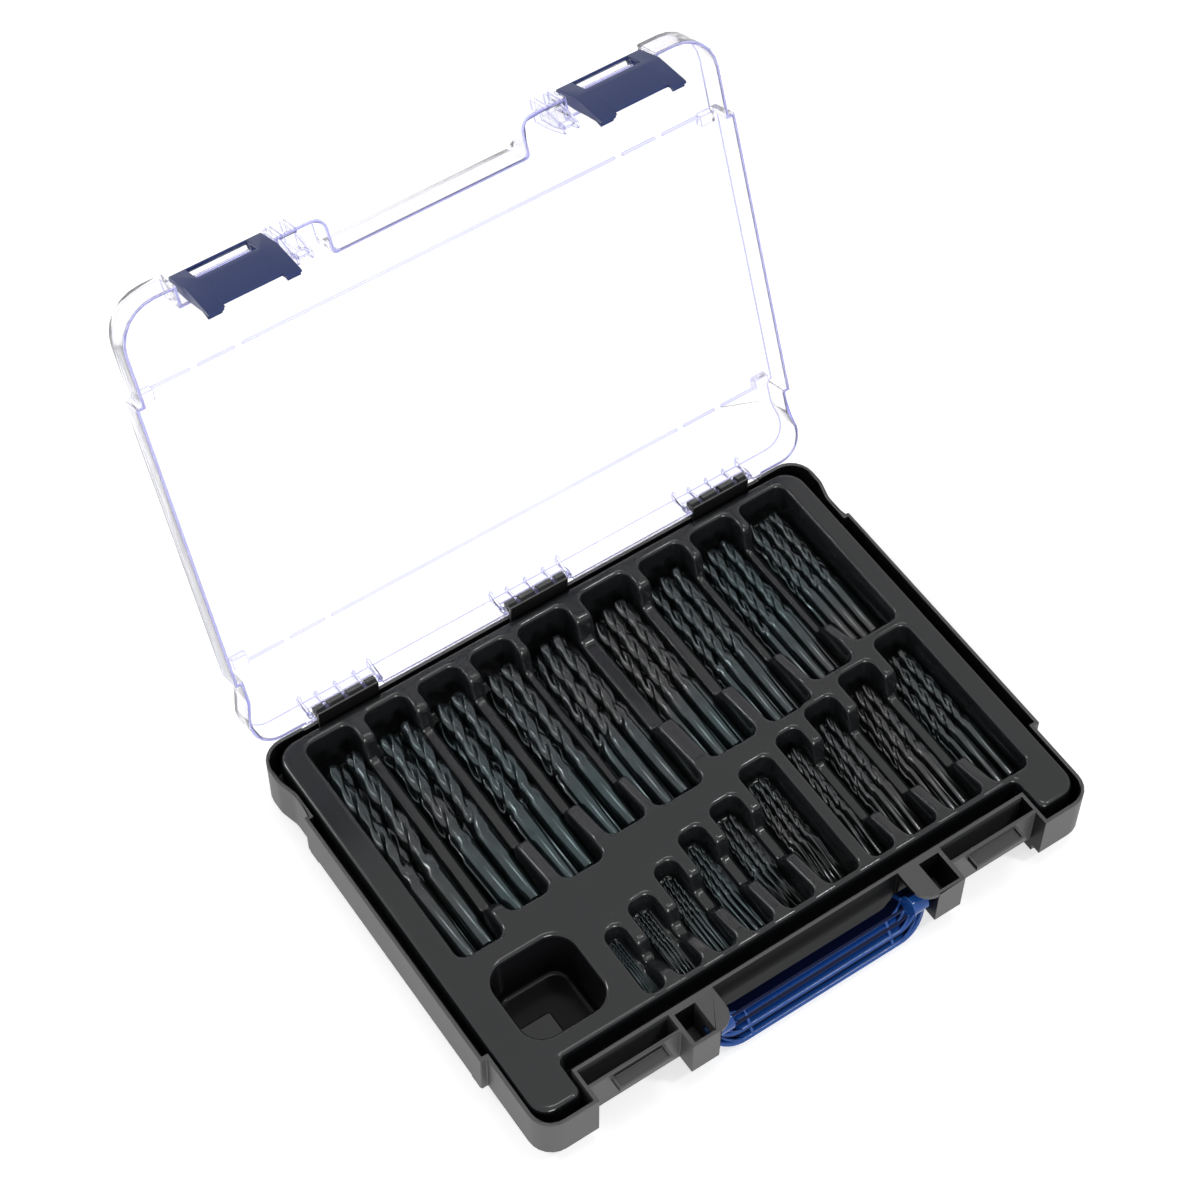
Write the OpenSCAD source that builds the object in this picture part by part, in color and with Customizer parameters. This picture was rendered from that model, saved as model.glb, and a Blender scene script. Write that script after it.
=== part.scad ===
// Drill bit case: a shallow case with a clear hinged lid, two snap latches, a folding handle
// and a moulded insert tray that sorts nineteen sizes of twist drill into nineteen compartments.
// Millimetres, +Z up, -Y is the front. The origin is the middle of the face the case rests on.
// The lid is drawn standing open, as the case is shown. Closed, it lies flat on the rim.

/* [Base] */
// Outside width of the front half of the base
case_w = 330; // [320:1:345]
// Distance from the fronts of the towers to the back wall
case_d = 257; // [252:1:266]
// Height of the rim above the surface
rim_h = 40; // [38:0.5:44]
// Thickness of the side walls
wall = 2; // [1.6:0.1:2.6]
// Thickness of the floor
floor_t = 2; // [1.5:0.1:3]
// How far the middle of each side stands out
side_bulge = 3.5; // [2.5:0.1:5]
// How far each back corner stands out
back_bulge = 4; // [2.5:0.1:5]
// Length of each standing-out back corner
back_corner_l = 32.5; // [26:0.5:38]
// Gap between a back corner and the side bulge
back_neck_l = 14; // [8:0.5:20]
// Length from the tower fronts to the side bulge
front_neck_l = 50; // [44:0.5:58]
// Radius of the front corners
front_corner_r = 13; // [8:0.5:16]
// Radius of the back corners
back_corner_r = 14; // [10:0.5:16]
// Height at which the wall steps in to the narrower foot
step_h = 11; // [8:0.5:14]
// How far the foot is set in from the sides
foot_inset = 8; // [5:0.5:10]

/* [Base front] */
// Width of each corner block, in from the side
corner_block_x = 31.6; // [29:0.2:34]
// How far the corner blocks stay behind the tower fronts
corner_block_back = 2; // [1:0.2:4]
// Depth of the front recess behind the tower fronts
recess_d = 21; // [19:0.5:23]
// Height of the undersides of the towers and channels
tower_z = 14; // [12:0.5:18]
// Distance of the towers' outer faces from the sides
tower_out_x = 83.5; // [82:0.1:85]
// Width of each tower's box
tower_w = 16.3; // [15:0.1:18]
// Distance of the tower tops' inner ends from the sides, where the handle gap starts
tower_in_x = 109.5; // [108:0.1:111]
// Thickness of the tower tops
tower_top_t = 2.5; // [2:0.1:4]
// Radius of the rounded corner of each tower top
tower_r = 10; // [6:0.5:12]
// Wall of the towers and channels
tower_wall = 2; // [1.4:0.1:2.4]
// How far the channel's front wall stays behind the tower fronts
channel_back = 10; // [9.6:0.1:12]
// Width of each catch ledge
ledge_w = 30.6; // [26:0.2:34]
// How far the catch ledge stays behind the tower fronts
ledge_back = 2.5; // [2.4:0.1:2.8]
// Thickness of the catch ledge
ledge_t = 3.8; // [3:0.1:4.4]
// Depth of the dish in the catch ledge
ledge_dish = 1.6; // [0.8:0.1:2]
// How far the catch ledge lies below the rim
ledge_drop = 2.2; // [1.8:0.1:3]

/* [Hinges] */
// Distance of the outer hinges' middles from the sides
hinge_x = 49.3; // [45:0.1:55]
// Width of each hinge block
hinge_w = 35.6; // [32:0.2:40]
// Width of the slots between knuckles
knuckle_gap = 2.4; // [2.2:0.1:3.2]
// Radius of the knuckles
knuckle_r = 3.5; // [3.3:0.1:3.8]
// Radius of the hinge pins
pin_r = 1.5; // [1.2:0.05:1.8]
// Running clearance round the hinge pins
pin_gap = 0.08; // [0.04:0.01:0.1]
// Height of the hinge axis above the rim
hinge_up = 5; // [4.6:0.1:5.6]
// Thickness of the plate in front of each hinge
hinge_plate_t = 1.1; // [0.8:0.1:1.2]
// Depth of the hinge foot behind the back wall
hinge_foot = 3.6; // [3:0.1:3.8]
// How far the lid stands open, from closed
open_angle = 111.5; // [100:0.5:111.5]

/* [Lid] */
// Height of the lid above the rim
lid_h = 17; // [16:0.5:20]
// Thickness of the lid's walls
lid_t = 1.8; // [1.4:0.1:2.2]
// Gap between the closed lid and the rim
lid_gap = 0.3; // [0.2:0.05:0.5]
// How far the lid's front wall stays behind the tower fronts
lid_back = 1; // [0.6:0.1:1.4]
// Radius of the lid's front corners
lid_corner_r = 22; // [16:0.5:26]
// Gap between the lid's side bulge and its back corners
lid_neck_l = 8; // [4:0.5:12]
// Distance of the notch over the handle from the sides
notch_x = 111.5; // [110:0.5:115]
// Radius of the notch's front corners
notch_r = 8; // [4:0.5:10]
// Thickness of each locating fin
fin_t = 1.5; // [1.2:0.1:2]
// Length that the locating fins reach below the rim
fin_drop = 13; // [8:0.5:14]
// Height of the stiffening ridges under the lid
ridge_h = 1.4; // [0.8:0.1:2.4]

/* [Latches] */
// Distance of the latches' middles from the sides
latch_x = 58.8; // [58:0.2:60]
// Width of each latch
latch_w = 48.5; // [46:0.2:49.5]
// Thickness of the latch plate
latch_t = 1.5; // [1.2:0.05:1.6]
// Radius of the roll along the latch's upper edge
latch_roll_r = 3.2; // [3:0.05:3.3]
// Radius of the bar that the latch turns on
latch_bar_r = 1.6; // [1.2:0.05:1.8]
// Height of the latch axis above the rim
latch_axis_up = 10.4; // [10:0.1:11]
// Length of the latch below its axis
latch_l = 38.5; // [34:0.5:39]
// Width of the latch window
window_w = 32; // [24:0.5:33]
// Height of the latch window
window_h = 12.5; // [10:0.5:13]

/* [Handle] */
// Distance of the handle's outer sides from the sides of the base
handle_x = 102; // [101.6:0.2:104]
// Width of the handle's grip, along its slanted face
grip_w = 18; // [16:0.5:18.5]
// Thickness of the grip
grip_t = 8.4; // [7.6:0.2:8.6]
// Slope of the grip's face
grip_tilt = 58; // [54:1:62]
// Number of ribs along the grip
grip_ribs = 4; // [3:1:5]
// Thickness of each rib
rib_t = 1.6; // [1.2:0.1:2]
// Depth of the grooves between the ribs
groove_d = 6.2; // [4:0.2:6.6]
// Radius of the pivot pins
pivot_r = 3; // [2.4:0.1:3.4]
// Running clearance round the pivot pins
pivot_gap = 0.1; // [0.05:0.01:0.1]
// Depth of the pivots below the rim
pivot_drop = 13; // [12:0.2:14]
// Depth of the pivots behind the tower fronts
pivot_back = 8.5; // [8:0.2:9]

/* [Insert tray] */
// Thickness of the tray sheet
sheet = 1.2; // [0.8:0.1:1.4]
// Gap between the tray's rim and the base walls
tray_gap = 1.2; // [0.8:0.1:2]
// Corner radius of the compartments
pocket_r = 5; // [3:0.5:6]
// Width of the tray's rim in front of the small compartments
tray_front = 3.5; // [2:0.5:5]
// Height of the piles of small drills
small_pile_z = 31; // [30:0.5:34]
// Height of the piles of large drills
large_pile_z = 32; // [30:0.5:34]
// Length of the full-height part of each divider
divider_fin = 14; // [8:1:20]
// Height of the lowered middle of the dividers, below the pile tops
divider_low = 9; // [4:0.5:12]
// How far the ledge at the shank end of each divider lies below the rim
shank_ledge_drop = 7; // [4:0.5:10]
// Where those ledges start behind the shank ends
ledge_start = 5.5; // [5.2:0.1:8]
// Depth of the tray's outer skirt
skirt_h = 17; // [8:0.5:22]
// Free length in the compartments of the back row
back_room = 8; // [6:0.5:10]
// Free length in the compartments of the front row
front_room = 5; // [4.5:0.5:6]
// Side of the accessory pocket
accessory_w = 46; // [40:1:47]
// Corner radius of the accessory pocket
accessory_r = 12; // [8:0.5:16]

/* [Drills] */
// Gap between neighbouring drills
drill_gap = 0.12; // [0.05:0.01:0.3]
// Gap between the drills' shank ends and the compartment
shank_gap = 2.2; // [2:0.1:3]
// How much thinner the fluted part is than the shank
flute_slim = 0.04; // [0:0.01:0.1]
// Point angle of the drills
point_angle = 118; // [110:1:135]

/* [Hidden] */
// Nineteen sizes from 1 mm to 10 mm in half millimetre steps, ten of each up to 8 mm, then five.
sizes = [for (i = [2:20]) i / 2];
function drill_count(d) = d > 8 ? 5 : 10;
function bits_name(d) = str("bits_", d < 10 ? "0" : "", floor(d), "_", (d * 10) % 10, "mm");
curve_n = 6;
$fn = 48;

// Overall and flute lengths of the standard short series, as a stepped rule by diameter.
function drill_l(d) = lookup(d, [[1, 34], [1.5, 40], [2, 49], [2.5, 57], [3, 61], [3.5, 70], [4, 75],
    [4.5, 80], [5, 86], [5.5, 93], [6, 93], [6.5, 101], [7, 109], [7.5, 109], [8, 117], [8.5, 117],
    [9, 125], [9.5, 125], [10, 133]]);
function flute_l(d) = 0.655 * drill_l(d) - 8 + min(d, 2) * 1.5;

// Main lines of the base.
front_y = -case_d / 2;
back_y = case_d / 2;
corner_y = front_y + corner_block_back;
recess_y = front_y + recess_d;
channel_y = front_y + channel_back;
front_x = case_w / 2;
bulge_x = front_x + side_bulge;
back_x = front_x + back_bulge;
neck_back_y = back_y - back_corner_l;
neck_front_y = neck_back_y - back_neck_l;
bulge_front_y = front_y + front_neck_l;
neck_slope_l = 11;
// What sits at a distance from the sides, measured from the middle.
block_at_x = front_x - corner_block_x;
tower_at_x = front_x - tower_out_x;
tower_top_x = front_x - tower_in_x;
hinge_at_x = front_x - hinge_x;
notch_at_x = front_x - notch_x;
latch_at_x = front_x - latch_x;
handle_at_x = front_x - handle_x;
ledge_front_y = front_y + ledge_back;
ledge_top_z = rim_h - ledge_drop;
low_back_z = rim_h - 1.4;
low_back_x = front_x - 23;
nudge = 0.01;

// Hinge axis and lid lines, for the closed lid.
axis_y = back_y;
axis_z = rim_h + hinge_up;
lid_z = rim_h + lid_gap;
lid_top_z = rim_h + lid_h;
lid_front_y = front_y + lid_back;
tongue_z = low_back_z + 0.4;
latch_side = 1.4;
bay_in_x = latch_at_x - latch_w / 2 - latch_side;
bay_out_x = latch_at_x + latch_w / 2 + latch_side;
bay_y = channel_y + 1;
latch_axis_y = front_y + 4.3;
latch_axis_z = rim_h + latch_axis_up;

// Handle lines.
pivot_y = front_y + pivot_back;
pivot_z = rim_h - pivot_drop;
box_in_x = tower_at_x - tower_w;

// Compartments by size: [size, width, wall on the right, length of the ledge beside it on the right].
tray_back_y = back_y - 4.3;
back_row_y = tray_back_y - 6.2;
front_row_y = front_y + 34.5;
back_row = [[10, 26, 8, 12], [9.5, 24, 8, 33], [9, 24, 8, 28], [8.5, 23, 6, 28], [8, 28.8, 10.2, 35],
    [7.5, 29, 8, 34], [7, 27, 6, 28], [6.5, 26, 6, 20], [6, 28.5, 0, 0]];
front_row = [[1, 10.8, 7.4, 15], [1.5, 14.5, 7.4, 18], [2, 12.9, 7.4, 23], [2.5, 14.8, 7.4, 26],
    [3, 17.1, 7.4, 28], [3.5, 19.7, 7.4, 0], [4, 14.5, 7.4, 24], [4.5, 18.9, 7.4, 25],
    [5, 21.4, 7.4, 25], [5.5, 21.3, 0, 0]];
accessory_x = -front_x + 45;
accessory_y = front_y + 65.5;
accessory_z = 8;
row_end_x = front_x - 15.5;

// The left sides of a row's compartments between x0 and x1: the walls share what their widths leave.
function total(row, k, n) = n < 1 ? 0 : total(row, k, n - 1) + row[n - 1][k];
function left_sides(row, x0, x1) =
    let (n = len(row), share = (x1 - x0 - total(row, 1, n)) / total(row, 2, n))
    [for (i = [0:n - 1]) x0 + total(row, 1, i) + total(row, 2, i) * share];
back_x0 = left_sides(back_row, -front_x + 18, row_end_x);
front_x0 = left_sides(front_row, accessory_x + accessory_w / 2 + 14, row_end_x);

// A compartment is its drills' length plus room for the tips and for fingers.
function back_front_y(d) = back_row_y - drill_l(d) - back_room - 0.45 * d;
function front_back_y(d) = front_row_y + drill_l(d) + front_room + 0.9 * d;
pockets = concat(
    [for (i = [0:len(back_row) - 1]) let (p = back_row[i], x = back_x0[i])
        [p[0], x, x + p[1], back_row_y, back_front_y(p[0]), p[3]]],
    [for (i = [0:len(front_row) - 1]) let (p = front_row[i], x = front_x0[i])
        [p[0], x, x + p[1], front_back_y(p[0]), front_row_y, p[3]]]);

// How the drills pile up: rows of n and n - 1, spread over the compartment's width.
side_gap = 1;
function pile_n(d, w) =
    max(2, min(floor((w - 2 * side_gap) / (d + drill_gap)), ceil(drill_count(d) / 2)));
function pile_pitch(d, w) = min((w - 2 * side_gap - d) / (pile_n(d, w) - 1), 1.22 * d + drill_gap);
function pile_rise(d, w) = sqrt(pow(d + drill_gap, 2) - pow(pile_pitch(d, w) / 2, 2));
function row_of(i, n) = floor(i / (2 * n - 1)) * 2 + (i % (2 * n - 1) >= n ? 1 : 0);
function col_of(i, n) = i % (2 * n - 1) >= n ? i % (2 * n - 1) - n + 0.5 : i % (2 * n - 1);
function pile_h(d, w) = d + pile_rise(d, w) * row_of(drill_count(d) - 1, pile_n(d, w));
function pile_z(d) = d < 6 ? small_pile_z : large_pile_z;
function pocket_z(p) = max(floor_t + 1 + sheet, pile_z(p[0]) - pile_h(p[0], p[2] - p[1]));

// Corner i of a closed outline, rounded by its own radius: each point is [x, y, r].
function unit2(v) = v / norm(v);
function round_at(a, b, c) =
    let (pa = [a[0] - b[0], a[1] - b[1]], pc = [c[0] - b[0], c[1] - b[1]])
    let (u = unit2(pa), v = unit2(pc), half = acos(max(-1, min(1, u * v))) / 2)
    let (o = [b[0], b[1]] + unit2(u + v) * b[2] / sin(half), t = b[2] / tan(half))
    let (p = [b[0], b[1]] + u * t - o, q = [b[0], b[1]] + v * t - o)
    let (a0 = atan2(p[1], p[0]), turn = (atan2(q[1], q[0]) - a0 + 540) % 360 - 180)
    [for (k = [0:curve_n]) o + b[2] * [cos(a0 + turn * k / curve_n), sin(a0 + turn * k / curve_n)]];
function rounded(pts) =
    let (n = len(pts))
    [for (i = [0:n - 1]) each (pts[i][2] < 0.05
        ? [[pts[i][0], pts[i][1]]]
        : round_at(pts[(i + n - 1) % n], pts[i], pts[(i + 1) % n]))];
// The whole outline from its right half, which runs from the back to the front.
function mirrored(half) =
    concat(half, [for (i = [len(half) - 1:-1:0]) [-half[i][0], half[i][1], half[i][2]]]);

// Outline of the base at the rim, moved in by i.
function base_half(i) = [
    [back_x - i, back_y - i, back_corner_r - i],
    [back_x - i, neck_back_y + neck_slope_l, 14],
    [front_x - i + 1, neck_back_y, 14],
    [front_x - i + 1, neck_front_y - i, 0.6],
    [bulge_x - i, neck_front_y - i, 0.6],
    [bulge_x - i, bulge_front_y + i, 0.6],
    [front_x - i, bulge_front_y + i, 0.6],
    [front_x - i, corner_y + i, front_corner_r - i],
    [block_at_x + i, corner_y + i, 0.4],
    [block_at_x + i, recess_y + i, 0.4]];

module rounded_shape(pts, h) {
    linear_extrude(h) polygon(rounded(pts));
}

module box2(x0, y0, z0, x1, y1, z1) {
    translate([x0, y0, z0]) cube([x1 - x0, y1 - y0, z1 - z0]);
}

module both_sides() {
    children();
    mirror([1, 0, 0]) children();
}

module bar_x(r, x0, x1, y, z) {
    translate([x0, y, z]) rotate([0, 90, 0]) cylinder(r = r, h = x1 - x0);
}

// A plate parallel to the side walls: its outline is drawn in y and z.
module plate_x(x0, x1, pts) {
    translate([x0, 0, 0]) rotate([90, 0, 90]) linear_extrude(x1 - x0) polygon(pts);
}

// Outline of the narrower foot, moved in by i.
function foot_half(i) = [
    [front_x - foot_inset - i, back_y - 4 - i, 10],
    [front_x - foot_inset - i, corner_y + foot_inset + i, 10],
    [block_at_x + 3 + i, corner_y + foot_inset + i, 0.4],
    [block_at_x + 3 + i, recess_y + i, 0.4]];

module latch_channel() {
    x0 = tower_at_x - tower_wall;
    difference() {
        box2(x0, channel_y, tower_z, block_at_x + tower_wall, recess_y + wall, rim_h);
        box2(x0 + tower_wall, channel_y + tower_wall, tower_z + tower_wall,
            block_at_x, recess_y - nudge, rim_h + 1);
    }
    // Catch ledge with its shallow dish
    difference() {
        box2(latch_at_x - ledge_w / 2, ledge_front_y, ledge_top_z - ledge_t,
            latch_at_x + ledge_w / 2, channel_y + nudge, ledge_top_z);
        box2(latch_at_x - ledge_w / 2 + 1.5, ledge_front_y + 1.5, ledge_top_z - ledge_dish,
            latch_at_x + ledge_w / 2 - 1.5, channel_y + 1, ledge_top_z + 1);
    }
}

module tower() {
    difference() {
        union() {
            box2(box_in_x, front_y, tower_z, tower_at_x, recess_y + wall, rim_h);
            translate([0, 0, rim_h - tower_top_t])
                rounded_shape([[tower_top_x, recess_y + wall, 0], [box_in_x + 1, recess_y + wall, 0],
                    [box_in_x + 1, front_y, 0], [tower_top_x, front_y, tower_r]], tower_top_t);
            // Web under the tower top, along the recess wall
            box2(tower_top_x, recess_y - 1, tower_z, tower_top_x + wall, recess_y + wall, rim_h);
        }
        box2(box_in_x + tower_wall, front_y + tower_wall, tower_z + tower_wall,
            tower_at_x - tower_wall - 0.5, recess_y - wall, rim_h + 1);
        bar_x(pivot_r + pivot_gap, box_in_x - 1, box_in_x + tower_wall + 1, pivot_y, pivot_z);
    }
}

// Hinge block: four knuckles on one foot, with a plate across their fronts.
outer_knuckle_w = (hinge_w - 3 * knuckle_gap) / 2 * 0.38;
inner_knuckle_w = (hinge_w - 3 * knuckle_gap) / 2 - outer_knuckle_w;
slot_mid = inner_knuckle_w + knuckle_gap;
foot_top_z = axis_z - 1.9;

module hinge_block() {
    plate_y = axis_y - knuckle_r - 0.1;
    difference() {
        union() {
            bar_x(knuckle_r, -hinge_w / 2, hinge_w / 2, axis_y, axis_z);
            box2(-hinge_w / 2, plate_y, rim_h - 8, hinge_w / 2, axis_y, axis_z);
            box2(-hinge_w / 2, plate_y, rim_h - 8, hinge_w / 2, axis_y + hinge_foot, foot_top_z);
        }
        for (s = [-1, 0, 1])
            box2(s * slot_mid - knuckle_gap / 2, plate_y + hinge_plate_t, rim_h - 0.6,
                s * slot_mid + knuckle_gap / 2, axis_y + 9, axis_z + 9);
        bar_x(pin_r + pin_gap, -hinge_w / 2 - 1, hinge_w / 2 + 1, axis_y, axis_z);
    }
    box2(-hinge_w / 2, plate_y, axis_z, hinge_w / 2, plate_y + hinge_plate_t, axis_z + 3.2);
}

// Small feet on the side walls that keep stacked cases apart.
module side_lugs() {
    lug_h = rim_h - step_h - 9;
    for (y = [neck_front_y - 9, bulge_front_y + 2])
        box2(front_x - 3, y, step_h - 3, bulge_x - 0.4, y + 8, step_h + lug_h);
}

module base() color([0.13, 0.13, 0.14]) {
    difference() {
        union() {
            translate([0, 0, step_h]) rounded_shape(mirrored(base_half(0)), rim_h - step_h);
            rounded_shape(mirrored(foot_half(0)), step_h + nudge);
            both_sides() latch_channel();
            both_sides() tower();
            both_sides() side_lugs();
        }
        translate([0, 0, step_h + floor_t]) rounded_shape(mirrored(base_half(wall)), rim_h);
        translate([0, 0, floor_t]) rounded_shape(mirrored(foot_half(wall)), step_h + 1);
        // The back wall is lower between the back corners
        box2(-low_back_x, back_y - wall - 1, low_back_z, low_back_x, back_y + 1, rim_h + 1);
    }
    for (x = [-hinge_at_x, 0, hinge_at_x]) translate([x, 0, 0]) hinge_block();
}

// Tray: a sheet with a cup for each compartment, and lowered dividers between neighbours.
function tray_half(i) = [
    [front_x - wall - tray_gap - i, tray_back_y - i, 12],
    [front_x - wall - tray_gap - i, corner_y + wall + 6 + i, 10],
    [block_at_x + wall + 2 + i, corner_y + wall + 6 + i, 4],
    [block_at_x + wall + 2 + i, front_row_y - tray_front + i, 4]];

function pocket_shape(p, g) = let (r = min(pocket_r, (p[2] - p[1]) / 2 - 0.3) + g)
    [[p[1] - g, p[3] + g, r], [p[2] + g, p[3] + g, r], [p[2] + g, p[4] - g, r], [p[1] - g, p[4] - g, r]];

// Space over a divider between compartments a and b: [x0, x1, y back, y of the ledge, y front, z low]
function divider_span(a, b) =
    let (z = min(pile_z(a[0]), pile_z(b[0])) - divider_low)
    let (back = min(a[3], b[3]) - divider_fin, front = max(a[4], b[4]))
    [a[2] - 2, b[1] + 2, back, front + a[5], front + ledge_start, max(z, pocket_z(a) + 2, pocket_z(b) + 2)];
dividers = [for (i = [0:len(pockets) - 2]) if (pockets[i][5] > 0) divider_span(pockets[i], pockets[i + 1])];

module accessory_shape(g, h) {
    w = accessory_w / 2 + g;
    translate([accessory_x, accessory_y, 0])
        rounded_shape([[-w, w, accessory_r + g], [w, w, accessory_r + g], [w, -w, accessory_r + g],
            [-w, -w, accessory_r + g]], h);
}

module insert_tray() color([0.1, 0.1, 0.11]) {
    difference() {
        union() {
            translate([0, 0, rim_h - skirt_h]) difference() {
                rounded_shape(mirrored(tray_half(0)), skirt_h);
                translate([0, 0, -sheet]) rounded_shape(mirrored(tray_half(sheet)), skirt_h);
            }
            for (p = pockets)
                translate([0, 0, pocket_z(p) - sheet])
                    rounded_shape(pocket_shape(p, sheet), rim_h - pocket_z(p) + sheet);
            for (v = dividers)
                box2(v[0], v[4], v[5] - sheet, v[1], v[2] + sheet, rim_h - nudge);
            translate([0, 0, accessory_z - sheet]) accessory_shape(sheet, rim_h - accessory_z + sheet);
        }
        for (p = pockets)
            translate([0, 0, pocket_z(p)]) rounded_shape(pocket_shape(p, 0), rim_h);
        for (v = dividers)
            plate_x(v[0] - 1, v[1] + 1, [[v[2] + 2, rim_h + 1], [v[2], rim_h - 3], [v[2] - 2, v[5]],
                [v[3] + 1, v[5]], [v[3], rim_h - shank_ledge_drop],
                [v[4] - (v[3] - v[4]) / shank_ledge_drop, rim_h + 1]]);
        translate([0, 0, accessory_z]) accessory_shape(0, rim_h);
    }
    // Block in the accessory pocket
    box2(accessory_x - 16, accessory_y - accessory_w / 2 + 1, accessory_z - nudge,
        accessory_x + 2, accessory_y - 6, accessory_z + 9);
}

// Outline of the closed lid, moved in by i.
function lid_half(i) = [
    [back_x - i, back_y - i, back_corner_r - i],
    [back_x - i, neck_back_y + neck_slope_l + 4, 10],
    [front_x - i + 1, neck_back_y + 4, 14],
    [front_x - i + 1, neck_back_y - lid_neck_l - i, 0.6],
    [bulge_x + 0.5 - i, neck_back_y - lid_neck_l - i, 0.6],
    [bulge_x + 0.5 - i, bulge_front_y + i, 0.6],
    [front_x + 0.5 - i, bulge_front_y + i, 0.6],
    [front_x + 0.5 - i, lid_front_y + i, lid_corner_r - i],
    [bay_out_x + i, lid_front_y + i, 0.6],
    [bay_out_x + i, bay_y + i, 0.6],
    [bay_in_x - i, bay_y + i, 0.6],
    [bay_in_x - i, lid_front_y + i, 0.6],
    [notch_at_x + i, lid_front_y + i, notch_r - i],
    [notch_at_x + i, recess_y + i, 3]];

// Moves a closed lid to where it stands open.
module opened() {
    translate([0, axis_y, axis_z]) rotate([-open_angle, 0, 0]) translate([0, -axis_y, -axis_z]) children();
}

// Rounded end walls and dividers that carry the hinge pins.
module hinge_cheek(x, w, deep) {
    in_y = back_y - lid_t;
    difference() {
        union() {
            plate_x(x - w / 2, x + w / 2, [[in_y - deep, lid_top_z - lid_t + nudge],
                [in_y + 1, lid_top_z - lid_t],
                [in_y + 1, axis_z + 3], [axis_y + 1.8, axis_z + 1.4], [axis_y, axis_z],
                [axis_y - 1.8, axis_z + 1.2], [axis_y - 2.4, axis_z + 4.6]]);
            bar_x(pin_r + 0.7, x - w / 2, x + w / 2, axis_y, axis_z);
        }
    }
}

module lid_hinge() {
    w = hinge_w / 2 + 1.9;
    for (s = [-1, 1]) hinge_cheek(s * (w + 0.9), 1.8, 5);
    for (s = [-1, 0, 1]) hinge_cheek(s * slot_mid, knuckle_gap - 1, 3);
    bar_x(pin_r, -w - 1, w + 1, axis_y, axis_z);
}

// A pair of three-cornered fins that drop into the tower's pocket.
module locating_fins() {
    x0 = box_in_x + tower_wall + 1.6;
    x1 = tower_at_x - tower_wall - 1.7;
    tip_z = rim_h - fin_drop;
    y0 = front_y + tower_wall + 1;
    for (x = [x0, x1 - fin_t])
        plate_x(x, x + fin_t, [[lid_front_y + 1, lid_top_z - 1], [lid_front_y + 1, lid_z + 0.2],
            [y0, lid_z + 0.2], [y0 + 5, tip_z], [y0 + 9, tip_z],
            [y0 + 12, lid_z + 4], [y0 + 12, lid_top_z - 1]]);
    box2(x0, y0 + 5, tip_z, x1, y0 + 6.5, tip_z + 6);
}

module latch_bay() {
    bar_x(latch_bar_r, bay_in_x - 1, bay_out_x + 1, latch_axis_y, latch_axis_z);
    // Lug that shows in the latch window
    difference() {
        box2(latch_at_x - window_w / 2 + 1, latch_axis_y - 1.5, latch_axis_z - 7.6,
            latch_at_x + window_w / 2 - 1, bay_y + 1, latch_axis_z - 4.6);
        box2(latch_at_x - window_w / 2 + 2.4, latch_axis_y + 0.4, latch_axis_z - 8,
            latch_at_x + window_w / 2 - 2.4, bay_y - 0.8, latch_axis_z - 4);
    }
}

module ridge_line(y) {
    x = [for (in = [4, 31, 35, 55, 59]) front_x - in];
    for (span = [[-x[0], -x[1]], [-x[2], -x[3]], [-x[4], x[4]], [x[3], x[2]], [x[1], x[0]]])
        box2(span[0], y, lid_top_z - lid_t - ridge_h, span[1], y + 1.3, lid_top_z - 0.6);
}

module lid() color([0.85, 0.88, 0.95, 0.4]) opened() {
    difference() {
        union() {
            translate([0, 0, lid_z]) rounded_shape(mirrored(lid_half(0)), lid_top_z - lid_z);
            box2(-low_back_x + 1, back_y - lid_t, tongue_z, low_back_x - 1, back_y, lid_z + 1);
        }
        translate([0, 0, lid_z - 1]) rounded_shape(mirrored(lid_half(lid_t)), lid_top_z - lid_t - lid_z + 1);
        for (x = [-hinge_at_x, 0, hinge_at_x])
            box2(x - hinge_w / 2 - 1.9, back_y - lid_t - 1, tongue_z - 1, x + hinge_w / 2 + 1.9,
                back_y + 1, axis_z + knuckle_r + 0.7);
    }
    for (x = [-hinge_at_x, 0, hinge_at_x]) translate([x, 0, 0]) lid_hinge();
    both_sides() locating_fins();
    both_sides() latch_bay();
    ridge_line(bulge_front_y + 1);
    ridge_line(neck_back_y - lid_neck_l - 2);
    // Small blocks at the ends of the ridges
    both_sides() for (y = [bulge_front_y, neck_back_y - lid_neck_l - 8])
        box2(front_x - 10, y, lid_top_z - lid_t - 4, front_x - 1.6, y + 6, lid_top_z - 1);
}

// Latch, drawn against the closed lid: roll, plate, two side flanges and the catch rib.
crease_z = latch_axis_z - 17;
latch_low_z = latch_axis_z - latch_l;
latch_face_y = latch_axis_y - latch_roll_r;
crease_y = latch_face_y - 1.2;
latch_low_y = crease_y + 6.1;
window_top_z = latch_axis_z - 0.1;
catch_z = ledge_top_z - ledge_t - 0.5;
catch_tip_y = ledge_front_y - 0.32;
foot_w = 8;
foot_drop = 2.2;
foot_out = 2.5;

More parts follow.
